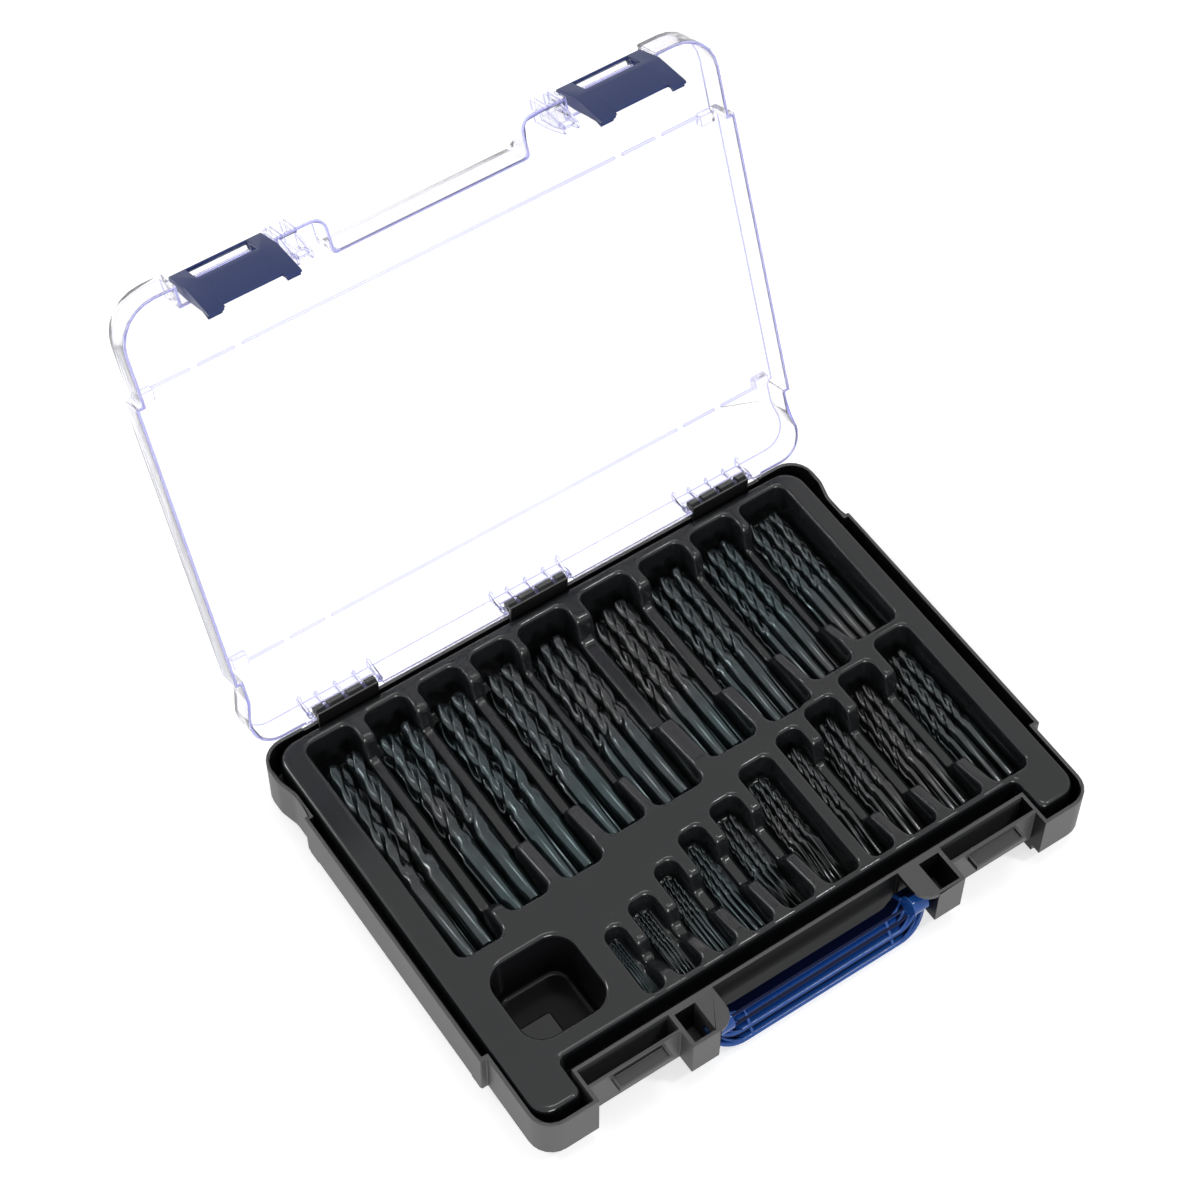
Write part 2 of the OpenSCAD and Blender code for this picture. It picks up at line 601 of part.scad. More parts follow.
module latch() {
    half_w = latch_w / 2;
    difference() {
        union() {
            bar_x(latch_roll_r, -half_w, half_w, latch_axis_y, latch_axis_z);
            plate_x(-half_w, half_w, [[latch_face_y, latch_axis_z], [crease_y, crease_z],
                [latch_low_y, latch_low_z + foot_drop], [latch_low_y + latch_t, latch_low_z + foot_drop],
                [crease_y + latch_t, crease_z + 0.6], [latch_face_y + latch_t, latch_axis_z]]);
            for (s = [-1, 1]) {
                plate_x(s * (half_w - foot_w / 2) - foot_w / 2, s * (half_w - foot_w / 2) + foot_w / 2,
                    [[crease_y, crease_z], [latch_low_y - foot_out, latch_low_z],
                    [latch_low_y - foot_out + latch_t, latch_low_z], [crease_y + latch_t, crease_z]]);
                plate_x(s * (half_w - foot_w) - 0.7, s * (half_w - foot_w) + 0.7,
                    [[crease_y, crease_z], [latch_low_y - foot_out, latch_low_z],
                    [latch_low_y + latch_t, latch_low_z + foot_drop], [crease_y + latch_t, crease_z]]);
                plate_x(s * (half_w - 0.9) - 0.9, s * (half_w - 0.9) + 0.9,
                    [[latch_face_y, latch_axis_z], [crease_y, crease_z],
                    [latch_low_y - foot_out, latch_low_z],
                    [latch_low_y - foot_out + latch_t, latch_low_z], [crease_y + 7, crease_z - 4],
                    [crease_y + 8, crease_z + 4], [latch_axis_y + 2.6, latch_axis_z - 1.4]]);
            }
            box2(-ledge_w / 2 + 1, crease_y + 1, catch_z - 2, ledge_w / 2 - 1, catch_tip_y, catch_z);
        }
        bar_x(latch_bar_r + pin_gap, -half_w - 1, half_w + 1, latch_axis_y, latch_axis_z);
        box2(-window_w / 2, crease_y - 2, window_top_z - window_h, window_w / 2,
            latch_axis_y + latch_roll_r + 1, window_top_z);
    }
}

module latch_left() color([0.15, 0.19, 0.38]) opened() translate([-latch_at_x, 0, 0]) latch();
module latch_right() color([0.15, 0.19, 0.38]) opened() translate([latch_at_x, 0, 0]) latch();

// Handle: a U-shaped band that leans outwards, ribbed on its face, with an arm at each end.
grip_top = [front_y + 11.5, rim_h - 19];
arm_w = 9;
arm_in_x = handle_at_x - arm_w;
arm_up = 6;

// Filled U, drawn in the plane of the grip's face: share 0 is the outer edge, 1 the inner edge.
module grip_u(share, top, t) {
    x = handle_at_x - share * arm_w;
    w = grip_w * (1 - share);
    r = 20 - 11 * share;
    translate([0, t, 0]) rotate([90, 0, 0])
        rounded_shape([[-x, top, 0], [x, top, 0], [x, -w, r], [-x, -w, r]], t);
}

module grip_band(outer, inner, top, t) {
    difference() {
        grip_u(outer, top, t);
        translate([0, -1, 0]) grip_u(inner, top + 1, t + 2);
    }
}

module grip() {
    rib = rib_t / grip_w;
    pitch = (1 - rib) / (grip_ribs - 1);
    difference() {
        grip_band(0, 1, arm_up, grip_t);
        for (k = [0:grip_ribs - 2])
            translate([0, -1, 0]) grip_band(k * pitch + rib, (k + 1) * pitch, arm_up + 2, groove_d + 1);
    }
    // Cross ribs near the ends of the grip
    both_sides() box2(handle_at_x - 21, 0, -grip_w + 1, handle_at_x - 21 + rib_t, grip_t - 0.5, -1);
}

module handle() color([0.1, 0.2, 0.55]) {
    boss_r = pivot_r + 2.5;
    difference() {
        union() {
            translate([0, grip_top[0], grip_top[1]]) rotate([-(90 - grip_tilt), 0, 0]) grip();
            both_sides() bar_x(boss_r, arm_in_x, handle_at_x, pivot_y, pivot_z);
            both_sides() plate_x(arm_in_x, handle_at_x, [[pivot_y - boss_r, pivot_z],
                [grip_top[0] - 3, grip_top[1] - 4], [grip_top[0] + 5, grip_top[1] - 3],
                [grip_top[0] + 7, grip_top[1] + 2], [pivot_y + boss_r, pivot_z]]);
            both_sides() bar_x(pivot_r, handle_at_x - 1, box_in_x + tower_wall + 0.8, pivot_y, pivot_z);
        }
        // Room behind the arms
        box2(-handle_at_x - 1, recess_y - 1.6, 0, handle_at_x + 1, recess_y + 9, rim_h);
    }
}

// One drill along +Y: shank, slimmer fluted part and point.
module drill(d) {
    l = drill_l(d);
    r = d / 2;
    tip = r / tan(point_angle / 2);
    rotate([-90, 0, 0]) rotate_extrude()
        polygon([[0, 0], [r - 0.05 * d, 0], [r, 0.05 * d], [r, l - flute_l(d)],
            [r - flute_slim * d, l - flute_l(d) + 0.1 * d], [r - flute_slim * d, l - tip], [0, l]]);
}

module drill_pile(p) color([0.12, 0.14, 0.15]) {
    d = p[0];
    w = p[2] - p[1];
    n = pile_n(d, w);
    for (i = [0:drill_count(d) - 1])
        translate([(p[1] + p[2]) / 2 + (col_of(i, n) - (n - 1) / 2) * pile_pitch(d, w),
            p[4] + shank_gap + (i * 37 % 5) * 0.5,
            pocket_z(p) + 0.05 + d / 2 + row_of(i, n) * pile_rise(d, w)])
            drill(d);
}

base();
insert_tray();
lid();
latch_left();
latch_right();
handle();
for (p = pockets)
    drill_pile(p);
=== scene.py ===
# %% [markdown]
# # A drill bit case, dressed for its picture
#
# The solids of the case come from a fixed frame: base, tray, lid, latches, handle and nineteen sets
# of drills. This lesson keeps their sizes and gives them what a photograph shows: rounded edges,
# pressed-sheet fillets, real helical flutes, and plastics that shine, scatter or let light through.
# All lengths are typed in millimetres and turned into metres at the last moment.

# %% The frame
import math

import bmesh
import bpy
import numpy as np
from mathutils import Matrix, Vector
from mathutils.geometry import delaunay_2d_cdt


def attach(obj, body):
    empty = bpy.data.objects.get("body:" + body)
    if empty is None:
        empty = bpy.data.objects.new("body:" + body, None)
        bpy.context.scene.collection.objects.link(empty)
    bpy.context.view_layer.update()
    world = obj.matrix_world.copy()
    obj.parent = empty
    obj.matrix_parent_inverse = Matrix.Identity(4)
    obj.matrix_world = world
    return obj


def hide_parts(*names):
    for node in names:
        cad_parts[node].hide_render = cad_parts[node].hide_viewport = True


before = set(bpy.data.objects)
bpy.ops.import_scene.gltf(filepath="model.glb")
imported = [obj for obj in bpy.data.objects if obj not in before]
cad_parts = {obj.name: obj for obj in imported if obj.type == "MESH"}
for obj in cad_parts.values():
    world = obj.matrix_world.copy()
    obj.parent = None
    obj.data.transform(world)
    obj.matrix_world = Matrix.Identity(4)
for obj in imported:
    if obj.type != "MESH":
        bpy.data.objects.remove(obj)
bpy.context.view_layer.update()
MM = 0.001

# %% [markdown]
# ## The camera
#
# The photograph was taken from the front left, fairly high, with a long lens. Its place comes from
# measuring where known corners of the case fall in the picture, so it is given by numbers: where the
# lens stands, which way it faces, how long it is, and a small turn about its own axis.

# %% Camera
lens_at = np.array([-471.91, -615.44, 1291.23])
azimuth, elevation, roll = math.radians(-34.556), math.radians(54.90), math.radians(0.386)
lens_mm = 88.17

level_share = math.cos(elevation)
facing_back = np.array([math.sin(azimuth) * level_share, -math.cos(azimuth) * level_share,
                        math.sin(elevation)])
level = np.cross([0, 0, 1], facing_back)
level /= np.linalg.norm(level)
upright = np.cross(facing_back, level)
right = math.cos(roll) * level + math.sin(roll) * upright
above = -math.sin(roll) * level + math.cos(roll) * upright

camera = bpy.data.objects.new("camera", bpy.data.cameras.new("camera"))
bpy.context.scene.collection.objects.link(camera)
bpy.context.scene.camera = camera
turned = Matrix((right, above, facing_back)).transposed().to_4x4()
camera.matrix_world = Matrix.Translation(Vector(lens_at * MM)) @ turned
camera.data.lens = lens_mm
camera.data.sensor_width = 36
camera.data.clip_start = 0.05
print("camera", np.round(lens_at), "lens", lens_mm)

# %% [markdown]
# ## A way to write materials
#
# A material is a small graph. Written out node by node it hides what it does, so a `Wire` wraps an
# output socket and takes part in ordinary sums: `0.4 + 0.1 * noise` adds the Math nodes by itself.
# Everything else is made by one method, `node`, which takes a kind, its settings and its inputs.


# %% Wires and surfaces
class Wire:
    """An output socket that can be added, subtracted and multiplied."""

    def __init__(self, surface, socket):
        self.surface, self.socket = surface, socket

    def maths(self, how, *values):
        return self.surface.node("Math", {"operation": how}, dict(enumerate(values)))

    def __add__(self, other):
        return self.maths("ADD", self, other)

    def __sub__(self, other):
        return self.maths("SUBTRACT", self, other)

    def __mul__(self, other):
        return self.maths("MULTIPLY", self, other)

    __radd__, __rmul__ = __add__, __mul__

    def clamp(self):
        return self.surface.node("Clamp", {}, {"Value": self})

    def sibling(self, name):
        """Another output of the same node."""
        return Wire(self.surface, self.socket.node.outputs[name])


class Surface:
    """A material with one Principled shader. Constants are set on its sockets."""

    def __init__(self, name, **constants):
        self.material = bpy.data.materials.new(name)
        self.material.use_nodes = True
        self.tree = self.material.node_tree
        self.shader = self.tree.nodes["Principled BSDF"]
        self.output = self.tree.nodes["Material Output"]
        for socket, value in constants.items():
            self.shader.inputs[socket.replace("_", " ")].default_value = value

    def node(self, kind, settings=None, inputs=None, out=0):
        made = self.tree.nodes.new("ShaderNode" + kind)
        for key, value in (settings or {}).items():
            setattr(made, key, value)
        for key, value in (inputs or {}).items():
            if isinstance(value, Wire):
                self.tree.links.new(value.socket, made.inputs[key])
            else:
                made.inputs[key].default_value = value
        return Wire(self, made.outputs[out])

    def place(self):
        return self.node("TexCoord", out="Object")

    def noise(self, scale, detail=3.0, stretch=None):
        where = self.place()
        if stretch:
            where = self.node("Mapping", {}, {"Vector": where, "Scale": stretch})
        return self.node("TexNoise", {}, {"Vector": where, "Scale": scale, "Detail": detail}, out="Fac")

    def blend(self, share, first, second):
        made = self.tree.nodes.new("ShaderNodeMix")
        made.data_type = "RGBA"
        for socket, value in ((made.inputs[0], share), (made.inputs[6], first), (made.inputs[7], second)):
            if isinstance(value, Wire):
                self.tree.links.new(value.socket, socket)
            else:
                socket.default_value = value
        return Wire(self, made.outputs[2])

    def bump(self, height, distance):
        return self.node("Bump", {}, {"Height": height, "Distance": distance}, out="Normal")

    def feed(self, socket, wire):
        self.tree.links.new(wire.socket, self.shader.inputs[socket])


# %% [markdown]
# ## The plastics and the steel
#
# The base is moulded in a satin black outside. Inside, and on the panel behind the handle, its black is
# smoother and painted far darker, as painted shade. The tray is a pressed sheet with a softer gloss, the
# handle and latches are blues. Moulded plastic is never one flat value: its gloss drifts over a hand's
# width, and a fine orange peel breaks up the highlights. The drills wear a black oxide that is slightly
# green in some batches and neutral in others.


# %% Moulded plastics
def moulded(name, colour, light, gloss, grain, coat=0.0, shine=0.5):
    """Satin plastic: colour drifts between two close values, gloss drifts too, grain is a bump in mm."""
    s = Surface(name, IOR=1.5, Coat_Weight=coat, Coat_Roughness=0.12, Specular_IOR_Level=shine)
    drift = s.noise(22.0, 2.0)
    fine = s.noise(900.0, 2.0)
    s.feed("Base Color", s.blend(drift, (*colour, 1), (*light, 1)))
    s.feed("Roughness", (gloss - 0.05) + 0.1 * drift)
    s.feed("Normal", s.bump(fine, grain * MM))
    return s.material


base_black = moulded("base_black", (0.050, 0.050, 0.052), (0.064, 0.063, 0.064), 0.46, 0.018)
# Painted shade: this second base black is far darker and less glossy, with a finer grain; it goes on the
# inward faces and the panel behind the handle.
base_smooth_painted_shade = moulded("base_smooth_painted_shade", (0.003, 0.003, 0.003), (0.005, 0.005, 0.005), 0.36, 0.010, 0.0, 0.12)
tray_black = moulded("tray_black", (0.008, 0.009, 0.010), (0.013, 0.014, 0.015), 0.20, 0.005, 0.25, 0.36)
# Painted shade: a darker, less glossy copy of the tray's black for the deep faces of the accessory pocket.
tray_painted_shade = moulded("tray_painted_shade", (0.005, 0.005, 0.006), (0.008, 0.008, 0.009), 0.20, 0.005, 0.0, 0.12)
handle_blue = moulded("handle_blue", (0.009, 0.058, 0.25), (0.013, 0.075, 0.31), 0.20, 0.005, 0.3, 0.2)
# Painted shade: a darker blue for the handle's grooves and the inside of its U.
handle_shade = moulded("handle_shade", (0.003, 0.006, 0.030), (0.004, 0.008, 0.038), 0.30, 0.005, 0.0, 0.1)
latch_navy = moulded("latch_navy", (0.012, 0.027, 0.120), (0.016, 0.034, 0.145), 0.30, 0.008, 0.1, 0.3)


def black_oxide():
    """Dark blued steel: metal with a cool, uneven skin and a ground finish that runs round the drill."""
    s = Surface("bit_black_oxide", Metallic=0.85, IOR=2.2)
    patch = s.noise(160.0, 3.0)
    batch = s.noise(14.0, 1.0)
    ground = s.noise(1.0, 2.0, stretch=(700.0, 5200.0, 700.0))
    teal = s.blend(patch, (0.020, 0.032, 0.035, 1), (0.050, 0.074, 0.078, 1))
    plain = s.blend(patch, (0.028, 0.029, 0.030, 1), (0.070, 0.069, 0.070, 1))
    s.feed("Base Color", s.blend((3.0 * batch - 1.1).clamp(), teal, plain))
    s.feed("Roughness", 0.12 + 0.10 * patch + 0.05 * ground)
    s.feed("Normal", s.bump(ground, 0.010 * MM))
    return s.material


oxide = black_oxide()
print("plastics and steel made")

# %% [markdown]
# ## The clear lid
#
# Clear moulded plastic over a white ground nearly vanishes. What the eye finds are its edges, where
# light that travels inside the sheet comes out and shows the plastic's own lilac tint. So the lid has
# three finishes: a clear one for its faces, a milky lilac one for the rim that meets the base, and a
# lilac one for the narrow rounded strips along every edge. The posts beside the notch are thick and
# close together, and real bending would throw a dark picture of the tray into them. There, light that
# is already inside the plastic goes straight on.


# %% Clear plastic
POST_FLOOR, POST_X, POST_REACH = 0.262, 0.070, 0.0165


def clear_plastic(name, tint, gloss, bend, through, posts=0.0):
    """Clear sheet that bends light and keeps its own tint; lamps shine through it with hardly a shadow."""
    s = Surface(name, Base_Color=(*tint, 1), Roughness=gloss, IOR=bend, Transmission_Weight=through)
    shadow = s.node("LightPath", out="Is Shadow Ray")
    depth = shadow.sibling("Ray Depth")
    x = s.node("SeparateXYZ", {}, {"Vector": s.place()})
    high = x.sibling("Z").maths("GREATER_THAN", x.sibling("Z"), POST_FLOOR)
    beside = x.maths("COMPARE", x.maths("ABSOLUTE", x), POST_X, POST_REACH)
    within = depth.maths("GREATER_THAN", depth, 0.5) * high * beside * posts
    clear = s.node("BsdfTransparent", {}, {"Color": (0.96, 0.96, 0.98, 1)})
    shown = s.node("MixShader", {}, {0: (shadow + within).clamp(), 1: Wire(s, s.shader.outputs[0]), 2: clear})
    s.tree.links.new(shown.socket, s.output.inputs["Surface"])
    return s.material


lid_clear = clear_plastic("lid_clear", (0.935, 0.93, 0.945), 0.02, 1.28, 0.95, 1.0)
lid_rim = clear_plastic("lid_rim", (0.40, 0.40, 0.86), 0.15, 1.25, 0.35)
lid_edge = clear_plastic("lid_edge", (0.50, 0.50, 0.86), 0.12, 1.25, 0.75)
print("clear plastic made")

# %% [markdown]
# ## From a formula to a mesh
#
# Every new shape here is a grid of points: rows run along a profile, columns run round or across.
# One function turns such a grid into faces, closes it round, and ends it in a pole where asked.


# %% Grids of points
def grid_faces(rows, cols, wrap, first=0):
    """Quads between neighbouring rows and columns; the last column joins the first if wrap is true."""
    span = cols if wrap else cols - 1
    r, c = np.meshgrid(np.arange(rows - 1), np.arange(span), indexing="ij")
    a, b = r * cols + c, r * cols + (c + 1) % cols
    return (np.stack([a, b, b + cols, a + cols], -1).reshape(-1, 4) + first).tolist()


def make_piece(name, points, faces, material, smooth=True):
    """Points in millimetres and faces as index lists become an object at the origin."""
    mesh = bpy.data.meshes.new(name)
    mesh.from_pydata((np.asarray(points) * MM).tolist(), [], faces)
    mesh.materials.append(material)
    mesh.polygons.foreach_set("use_smooth", [smooth] * len(mesh.polygons))
    mesh.update()
    piece = bpy.data.objects.new(name, mesh)
    bpy.context.scene.collection.objects.link(piece)
    return piece


# %% [markdown]
# ## The drills
#
# A twist drill is a rod with two grooves wound round it. Seen end-on its outline has two lands, full
# round, and two hollows that leave a thin web between them. Carrying that outline along the axis while
# turning it by one turn every 5.4 diameters gives the flutes. They fade out into the plain shank, and
# the point is a 118 degree cone, which is the same outline drawn in towards the axis. Points are
# worked out all at once: one row along the drill for each value of `along`.

# %% Sizes of the drills
sizes = np.arange(2, 21) / 2
lengths = {1: 34, 1.5: 40, 2: 49, 2.5: 57, 3: 61, 3.5: 70, 4: 75, 4.5: 80, 5: 86, 5.5: 93, 6: 93, 6.5: 101,
           7: 109, 7.5: 109, 8: 117, 8.5: 117, 9: 125, 9.5: 125, 10: 133}
print("sizes:", len(sizes), "longest:", lengths[10])


# %% One drill
def section(angle, web):
    """Radius of the outline as a share of the full radius, at an angle, for a given web thickness."""
    share = (angle / math.pi) % 1.0
    land = 0.44
    inside = np.clip((share - land) / (1 - land), 0, 1)
    hollow = web + (1 - web) * np.abs(2 * inside - 1) ** 1.7
    body = np.where(share < 0.075, 1.0, 0.955)
    return np.where(share < land, body, np.minimum(hollow, 1.0))


POINT_SLOPE = math.tan(math.radians(59))
TURN_IN_DIAMETERS = 5.4


def drill(d, turn):
    """Points and faces of a drill along +Y, shank end at the origin, turned by an angle about its axis."""
    r, length = d / 2, lengths[d]
    flute = 0.655 * length - 8 + min(d, 2) * 1.5
    around = 32 if d > 5 else 24 if d > 2 else 16
    tip = r / POINT_SLOPE
    start = length - flute
    wound = np.linspace(start, length - tip, 34 if d > 2 else 26)
    along = np.concatenate([[0, 0, 0.05 * d, start - 0.3 * d], wound, [length - tip] * 3])
    scale = np.concatenate([[0.6, 0.9, 1, 1], np.ones(len(wound)), [0.7, 0.4, 0.12]])
    fade = np.clip((along - start) / (1.6 * d), 0, 1)
    web = 1 - (1 - np.interp(along, [start, length], [0.40, 0.24])) * (fade * fade * (3 - 2 * fade))
    base = np.linspace(0, 2 * math.pi, around, endpoint=False)
    outline = np.stack([section(base, w) if f > 0 else np.ones(around) for w, f in zip(web, fade)])
    radius = r * scale[:, None] * outline
    on_point = (np.arange(len(along)) >= len(along) - 4)[:, None]
    at = along[:, None] + np.where(on_point, tip - radius / POINT_SLOPE, 0.0)
    spin = base + turn + 2 * math.pi * (along[:, None] - start) / (TURN_IN_DIAMETERS * d)
    points = np.stack([radius * np.cos(spin), at, -radius * np.sin(spin)], -1).reshape(-1, 3)
    rows, last = len(along), len(along) * around
    points = np.vstack([points, [0, 0, 0], [0, length, 0]])
    faces = grid_faces(rows, around, True)
    faces += [[last, (i + 1) % around, i] for i in range(around)]
    top = last - around
    faces += [[last + 1, top + i, top + (i + 1) % around] for i in range(around)]
    return points, faces


test_points, test_faces = drill(8, 0.0)
print("one 8 mm drill:", len(test_points), "points", len(test_faces), "faces")

# %% [markdown]
# ## The compartments
#
# Nineteen compartments hold the drills and one holds odds and ends. They are written once here, by
# drill size, and everything that follows uses them: the piles of drills, the cups of the tray and the
# low saddles between them.

# %% Compartments
rim, front_y, back_y = 40.0, -128.5, 128.5
back_row_y, front_row_y = back_y - 10.5, front_y + 34.5
# Drill size, left side, right side, and where the low wall to the next compartment starts (0: no low wall)
back_row = [(10, -147, -121, 12), (9.5, -113, -89, 33), (9, -81, -57, 28), (8.5, -49, -26, 28),
            (8, -20, 8.8, 35), (7.5, 19, 48, 34), (7, 56, 83, 28), (6.5, 89, 115, 20), (6, 121, 149.5, 0)]
front_row = [(1, -83, -72.2, 15), (1.5, -64.8, -50.3, 18), (2, -42.9, -30, 23), (2.5, -22.6, -7.8, 26),
             (3, -0.4, 16.7, 28), (3.5, 24.1, 43.8, 0), (4, 51.2, 65.7, 24), (4.5, 73.1, 92, 25),
             (5, 99.4, 120.8, 25), (5.5, 128.2, 149.5, 0)]
pockets = [(d, a, b, back_row_y, back_row_y - lengths[d] - 8 - 0.45 * d, ledge)
           for d, a, b, ledge in back_row]
pockets += [(d, a, b, front_row_y + lengths[d] + 5 + 0.9 * d, front_row_y, ledge)
            for d, a, b, ledge in front_row]
print("compartments:", len(pockets))


# %% How a pile stacks
def pile(d, width):
    """Drills side by side in the bottom row and its hollows above: (across, up) for each drill."""
    count = 5 if d > 8 else 10
    wide = max(2, min(math.floor((width - 2) / (d + 0.12)), math.ceil(count / 2)))
    pitch = min((width - 2 - d) / (wide - 1), 1.22 * d + 0.12)
    rise = math.sqrt((d + 0.12) ** 2 - (pitch / 2) ** 2)
    spots = []
    for i in range(count):
        pair, rest = divmod(i, 2 * wide - 1)
        row, col = (2 * pair, rest) if rest < wide else (2 * pair + 1, rest - wide + 0.5)
        spots.append(((col - (wide - 1) / 2) * pitch, row * rise))
    return spots


def pile_top(d):
    """Height to which the piles of a row reach."""
    return 31 if d < 6 else 32


def floor_of(pocket):
    """Height of a compartment's floor, which brings the top of its pile level with the others."""
    d, width = pocket[0], pocket[2] - pocket[1]
    return max(4.2, pile_top(d) - d - max(up for _, up in pile(d, width)))


print("floors:", {p[0]: round(floor_of(p), 1) for p in pockets})

# %% Fill every compartment
rng = np.random.default_rng(19)
for pocket in pockets:
    d, x0, x1, yb, yf, _ = pocket
    node = "bits_%02d_%dmm" % (int(d), round(d * 10) % 10)
    points, faces = [], []
    for i, (across, up) in enumerate(pile(d, x1 - x0)):
        p, f = drill(d, rng.uniform(0, 2 * math.pi))
        offset = sum(len(q) for q in points)
        place = [(x0 + x1) / 2 + across, yf + 2.2 + (i * 37 % 5) * 0.5, floor_of(pocket) + 0.05 + d / 2 + up]
        aside = math.radians(rng.uniform(-1, 1) * (1.3 if up > 0 else 0.35))
        lean = aside * (p[:, 1:2] - lengths[d] / 2)
        points.append(p + place + np.hstack([lean, np.zeros((len(p), 2))]))
        faces += (np.array([face if len(face) == 4 else face + face[-1:] for face in f]) + offset).tolist()
    faces = [face[:3] if face[2] == face[3] else face for face in faces]
    piece = make_piece(node.replace("bits", "drills"), np.vstack(points), faces, oxide)
    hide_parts(node)
    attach(piece, "case")
print("drills in place")

# %% [markdown]
# ## The tray
#
# The tray is one thin sheet drawn down over a mould. Nothing on it is sharp: each compartment rolls
# over from the rim into its wall, and from the wall into its floor. Between neighbours the wall is
# full height only at the tip end, drops into a low saddle, and climbs again beside the shanks. A cup is
# therefore a profile of offsets and depths carried round a rounded rectangle, whose upper end follows
# the height of the sheet at that place.


# %% Outlines
def rounded(corners, n):
    """Closed outline through corners [x, y, radius], with n + 1 points on the arc at each corner."""
    c = np.array(corners, float)
    a, b, z = np.roll(c, 1, 0), c, np.roll(c, -1, 0)
    u = (a - b)[:, :2] / np.linalg.norm((a - b)[:, :2], axis=1)[:, None]
    v = (z - b)[:, :2] / np.linalg.norm((z - b)[:, :2], axis=1)[:, None]
    half = np.arccos(np.clip((u * v).sum(1), -1, 1)) / 2
    r = np.maximum(b[:, 2], 0.02)
    mid = (u + v) / np.linalg.norm(u + v, axis=1)[:, None]
    centre = b[:, :2] + mid * (r / np.sin(half))[:, None]
    reach = (r / np.tan(half))[:, None]
    p, q = b[:, :2] + u * reach - centre, b[:, :2] + v * reach - centre
    start = np.arctan2(p[:, 1], p[:, 0])
    turn = (np.arctan2(q[:, 1], q[:, 0]) - start + 3 * math.pi) % (2 * math.pi) - math.pi
    t = np.linspace(0, 1, n + 1)
    angle = start[:, None] + turn[:, None] * t
    return (centre[:, None] + r[:, None, None] * np.stack([np.cos(angle), np.sin(angle)], -1)).reshape(-1, 2)


def pocket_ring(pocket, grow):
    """Outline of a compartment grown by an amount, against the clock, with points every 1.5 mm."""
    _, x0, x1, yb, yf, _ = pocket
    r = min(5.0, (x1 - x0) / 2 - 0.3) + grow
    corners = [[x1 + grow, yb + grow, r], [x0 - grow, yb + grow, r],
               [x0 - grow, yf - grow, r], [x1 + grow, yf - grow, r]]
    arcs = rounded(corners, 8).reshape(4, 9, 2)
    sides = [3, round((yb - yf) / 1.5), 3, round((yb - yf) / 1.5)]
    out = []
    for i, n in enumerate(sides):
        run = np.linspace(arcs[i, -1], arcs[(i + 1) % 4, 0], n + 1)[1:-1]
        out += [arcs[i], run]
    return np.vstack(out)


def saddle(a, b):
    """Heights along the wall between compartments a and b, as knots of y and z from the front to the back."""
    low = max(min(pile_top(a[0]), pile_top(b[0])) - 9, floor_of(a) + 2, floor_of(b) + 2)
    front, back = max(a[4], b[4]), min(a[3], b[3])
    ledge, fin = front + a[5], back - 14
    return [(front + 3.5, 40), (front + 6, 39.4), (ledge - 1.5, 34.2), (ledge, 33),
            (ledge + 1.6, low + 2), (ledge + 4, low), (fin - 5, low), (fin - 2, low + 2.5),
            (fin - 0.5, 37.5), (fin + 1.2, 39.6), (fin + 3, 40)]


walls = [(a[2], b[1], *zip(*saddle(a, b))) for a, b in zip(pockets, pockets[1:]) if a[5] > 0]


def sheet_height(xy):
    """Height of the sheet's upper face at points outside the cups: the rim, or the saddle of a low wall."""
    z = np.full(len(xy), rim)
    for x0, x1, ys, zs in walls:
        inside = (xy[:, 0] > x0 - 0.01) & (xy[:, 0] < x1 + 0.01) & (xy[:, 1] > ys[0]) & (xy[:, 1] < ys[-1])
        soft = sum(np.interp(xy[:, 1] + s, ys, zs) for s in (-0.9, -0.3, 0.3, 0.9)) / 4
        z = np.where(inside, soft, z)
    return z


print("low walls:", len(walls))


# %% Cups
def cup(ring_at, floor, roll=2.45, foot=2.2, draft=0.7):
    """Rows of a cup: flat lip, quarter-round roll, drafted wall, quarter-round foot and floor."""
    top = sheet_height(ring_at(roll))
    quarter = np.linspace(0, math.pi / 2, 7)[1:]
    lip = [(roll + 0.3, 0.0), (roll, 0.0)]
    lip += [(roll * (1 - math.sin(t)), roll * (1 - math.cos(t))) for t in quarter]
    rows = [np.column_stack([ring_at(grow), top - drop]) for grow, drop in lip]
    deep = np.minimum(floor + foot, top - roll - 0.3)
    rows.append(np.column_stack([ring_at(-draft), deep]))
    for t in quarter:
        sunk = deep - (deep - floor) * math.sin(t)
        rows.append(np.column_stack([ring_at(-draft - foot * (1 - math.cos(t))), sunk]))
    rows.append(np.column_stack([ring_at(-draft - foot - 0.3), np.full(len(top), floor)]))
    return rows


tray_points, tray_faces, lips = [], [], []


def add_rows(rows, floor_centre=None):
    """Adds a closed grid to the tray and, if asked, a flat fan over its last row."""
    first = sum(len(p) for p in tray_points)
    cols = len(rows[0])
    tray_points.append(np.vstack(rows))
    tray_faces.extend(grid_faces(len(rows), cols, True, first))
    if floor_centre is not None:
        pole, last = first + len(rows) * cols, first + (len(rows) - 1) * cols
        tray_points.append(np.array([floor_centre], float))
        tray_faces.extend([[pole, last + i, last + (i + 1) % cols] for i in range(cols)])


for pocket in pockets:
    _, x0, x1, yb, yf, _ = pocket
    rows = cup(lambda g, p=pocket: pocket_ring(p, g), floor_of(pocket) - 0.05)
    add_rows(rows, ((x0 + x1) / 2, (yb + yf) / 2, floor_of(pocket) - 0.05))
    lips.append(rows[0])
print("cup points:", sum(len(p) for p in tray_points))


# %% The accessory pocket
def accessory_ring(grow):
    """A square with wide corners, 46 mm across, grown by an amount."""
    w, r = 23 + grow, 12 + grow
    cx, cy = -120, front_y + 65.5
    return rounded([[cx + w, cy + w, r], [cx - w, cy + w, r], [cx - w, cy - w, r], [cx + w, cy - w, r]], 12)


rows = cup(accessory_ring, 8.0, roll=2.4, foot=3.0, draft=2.0)
add_rows(rows, (-120, front_y + 65.5, 8.0))
lips.append(rows[0])


